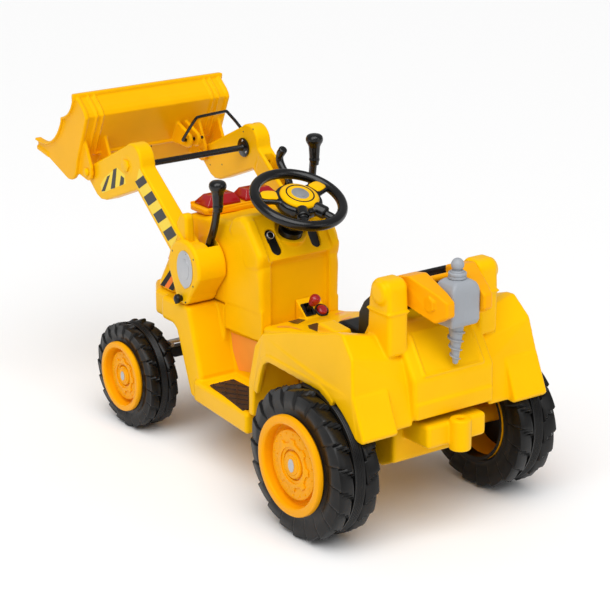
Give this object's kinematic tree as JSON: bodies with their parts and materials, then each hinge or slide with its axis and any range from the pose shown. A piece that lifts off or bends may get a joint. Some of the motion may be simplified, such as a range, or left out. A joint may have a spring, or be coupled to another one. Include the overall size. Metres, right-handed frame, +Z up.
{
  "type": "ride-on toy digger",
  "caption": "Child's electric ride-on front loader with lifting arms, tipping bucket, steering wheel, seat, chunky tyres and a rear toy drill.",
  "frame": {"origin": "centre of the footprint's bounding box, on the ground", "axes": "+Z up, -Y forwards towards the bucket, +X to the rider's left"},
  "size_m": [0.521, 1.196, 0.634],
  "materials": {
    "yellow_shell": "bright yellow moulded polypropylene, satin gloss",
    "amber_shell": "orange-yellow moulded plastic, satin gloss",
    "black_plastic": "black moulded plastic, semi gloss",
    "black_bar": "black powder-coated steel",
    "battery_case": "dark grey battery case",
    "seat_black": "black moulded seat, fine texture",
    "wheel_black": "black steering wheel, semi gloss",
    "tyre_black": "black hard plastic tyre with moulded lugs",
    "grey_plastic": "light grey moulded plastic",
    "red_lens": "deep red lens plastic",
    "red_knob": "dark red glossy plastic",
    "orange_lens": "orange reflector plastic",
    "axle_steel": "zinc-plated steel",
    "brown_mat": "brown film with a raised diamond tread"
  },
  "bodies": {
    "chassis": {"lower_body": "yellow_shell", "front_body": "yellow_shell", "rear_body": "yellow_shell", "pivot_housing_left": "yellow_shell", "pivot_housing_right": "yellow_shell", "light_tray": "amber_shell", "beacon_lens_left": "red_lens", "beacon_lens_right": "red_lens", "side_marker_left": "orange_lens", "side_marker_right": "orange_lens", "column_collar": "black_plastic", "dash_plate_left": "black_plastic", "dash_plate_right": "black_plastic", "seat": "seat_black", "foot_mat_left": "brown_mat", "foot_mat_right": "brown_mat", "shifter_plate": "black_plastic", "front_axle": "axle_steel", "rear_axle": "axle_steel", "gearbox": "black_plastic", "battery": "battery_case"},
    "loader": {"arm_left": "yellow_shell", "arm_right": "yellow_shell", "crossbar": "black_bar", "lift_lever_left": "black_plastic", "lift_lever_right": "black_plastic", "arm_pivot_shaft": "axle_steel"},
    "bucket": {"bucket": "yellow_shell", "bucket_pin_left": "yellow_shell", "bucket_pin_right": "yellow_shell"},
    "tilt_rod": {"tilt_rod": "black_bar"},
    "tilt_lever": {"tilt_lever": "black_plastic"},
    "steering": {"steering_wheel": "wheel_black", "steering_hub_cover": "yellow_shell", "steering_shaft": "axle_steel"},
    "knuckle_left": {"steering_knuckle_left": "axle_steel"},
    "knuckle_right": {"steering_knuckle_right": "axle_steel"},
    "tie_rod": {"tie_rod": "axle_steel"},
    "wheel_front_left": {"tyre_front_left": "tyre_black", "rim_front_left": "amber_shell", "hub_cap_front_left": "amber_shell"},
    "wheel_front_right": {"tyre_front_right": "tyre_black", "rim_front_right": "amber_shell", "hub_cap_front_right": "amber_shell"},
    "wheel_rear_left": {"tyre_rear_left": "tyre_black", "rim_rear_left": "amber_shell", "hub_cap_rear_left": "amber_shell"},
    "wheel_rear_right": {"tyre_rear_right": "tyre_black", "rim_rear_right": "amber_shell", "hub_cap_rear_right": "amber_shell"},
    "shifter": {"shifter_stem": "black_plastic", "shifter_knob": "red_knob"},
    "horn_button": {"horn_button": "red_knob"},
    "start_button": {"start_button": "black_plastic"},
    "foot_pedal": {"foot_pedal": "black_plastic"},
    "lock_knob_left": {"lock_knob_left": "black_plastic"},
    "lock_knob_right": {"lock_knob_right": "black_plastic"},
    "drill_arms": {"drill_arms": "amber_shell"},
    "drill_housing": {"drill_housing": "grey_plastic"},
    "drill_bit": {"drill_bit": "grey_plastic"}
  },
  "joints": [
    {"name": "loader_lift", "type": "hinge", "parent": "chassis", "child": "loader", "pos_m": [0, -0.053, 0.364], "axis": [1, 0, 0], "range_deg": [-5, 32]},
    {"name": "bucket_tilt", "type": "hinge", "parent": "loader", "child": "bucket", "pos_m": [0, -0.411, 0.476], "axis": [1, 0, 0], "range_deg": [-6, 50]},
    {"name": "tilt_rod_pin", "type": "hinge", "parent": "bucket", "child": "tilt_rod", "pos_m": [-0.073, -0.383, 0.5165], "axis": [1, 0, 0], "range_deg": [-55, 8]},
    {"name": "tilt_handle", "type": "hinge", "parent": "loader", "child": "tilt_lever", "pos_m": [-0.138, -0.137, 0.446], "axis": [1, 0, 0], "range_deg": [-5, 32]},
    {"name": "steering_turn", "type": "hinge", "parent": "chassis", "child": "steering", "pos_m": [0, 0.094, 0.506], "axis": [0, 0.3665, 0.9304], "range_deg": [-40, 40]},
    {"name": "kingpin_left", "type": "hinge", "parent": "chassis", "child": "knuckle_left", "pos_m": [0.118, -0.212, 0.1072], "axis": [0, 0, 1], "range_deg": [-20.5, 20.5]},
    {"name": "kingpin_right", "type": "hinge", "parent": "chassis", "child": "knuckle_right", "pos_m": [-0.118, -0.212, 0.1072], "axis": [0, 0, 1], "range_deg": [-20.5, 20.5]},
    {"name": "tie_rod_slide", "type": "slide", "parent": "chassis", "child": "tie_rod", "axis": [1, 0, 0], "range_m": [-0.0145, 0.0145]},
    {"name": "spin_front_left", "type": "hinge", "parent": "knuckle_left", "child": "wheel_front_left", "pos_m": [0.178, -0.212, 0.1072], "axis": [1, 0, 0], "continuous": true},
    {"name": "spin_front_right", "type": "hinge", "parent": "knuckle_right", "child": "wheel_front_right", "pos_m": [-0.178, -0.212, 0.1072], "axis": [1, 0, 0], "continuous": true},
    {"name": "spin_rear_left", "type": "hinge", "parent": "chassis", "child": "wheel_rear_left", "pos_m": [0.203, 0.423, 0.14], "axis": [1, 0, 0], "continuous": true},
    {"name": "spin_rear_right", "type": "hinge", "parent": "chassis", "child": "wheel_rear_right", "pos_m": [-0.203, 0.423, 0.14], "axis": [1, 0, 0], "continuous": true},
    {"name": "shifter_move", "type": "hinge", "parent": "chassis", "child": "shifter", "pos_m": [-0.007, 0.10651, 0.28277], "axis": [1, 0, 0], "range_deg": [-9, 9]},
    {"name": "horn_press", "type": "slide", "parent": "chassis", "child": "horn_button", "axis": [0, -0.6481, -0.7615], "range_m": [0, 0.0015], "stiffness_N_per_m": 400, "springref_m": -0.0005},
    {"name": "start_press", "type": "slide", "parent": "chassis", "child": "start_button", "axis": [0, -0.8, -0.6], "range_m": [0, 0.002], "stiffness_N_per_m": 400, "springref_m": -0.0005},
    {"name": "pedal_press", "type": "hinge", "parent": "chassis", "child": "foot_pedal", "pos_m": [-0.139, 0.07, 0.155], "axis": [1, 0, 0], "range_deg": [0, 10], "stiffness_Nm_per_rad": 2, "springref_deg": -2.86},
    {"name": "lock_pull_left", "type": "slide", "parent": "chassis", "child": "lock_knob_left", "axis": [1, 0, 0], "range_m": [0, 0.006]},
    {"name": "lock_pull_right", "type": "slide", "parent": "chassis", "child": "lock_knob_right", "axis": [-1, 0, 0], "range_m": [0, 0.006]},
    {"name": "drill_raise", "type": "hinge", "parent": "chassis", "child": "drill_arms", "pos_m": [0, 0.508, 0.459], "axis": [1, 0, 0], "range_deg": [0, 70]},
    {"name": "drill_tilt", "type": "hinge", "parent": "drill_arms", "child": "drill_housing", "pos_m": [0, 0.56, 0.436], "axis": [1, 0, 0], "range_deg": [0, 30]},
    {"name": "bit_spin", "type": "hinge", "parent": "drill_housing", "child": "drill_bit", "pos_m": [0, 0.56, 0.436], "axis": [0, 0, 1], "continuous": true}
  ],
  "couplings": [
    {"joint": "tilt_rod_pin", "follows": "bucket_tilt", "ratio": -1.05},
    {"joint": "tilt_handle", "follows": "bucket_tilt", "ratio": 0.6},
    {"joint": "kingpin_left", "follows": "steering_turn", "ratio": 0.5},
    {"joint": "kingpin_right", "follows": "steering_turn", "ratio": 0.5},
    {"joint": "tie_rod_slide", "follows": "steering_turn", "m_per_rad": -0.0195}
  ]
}
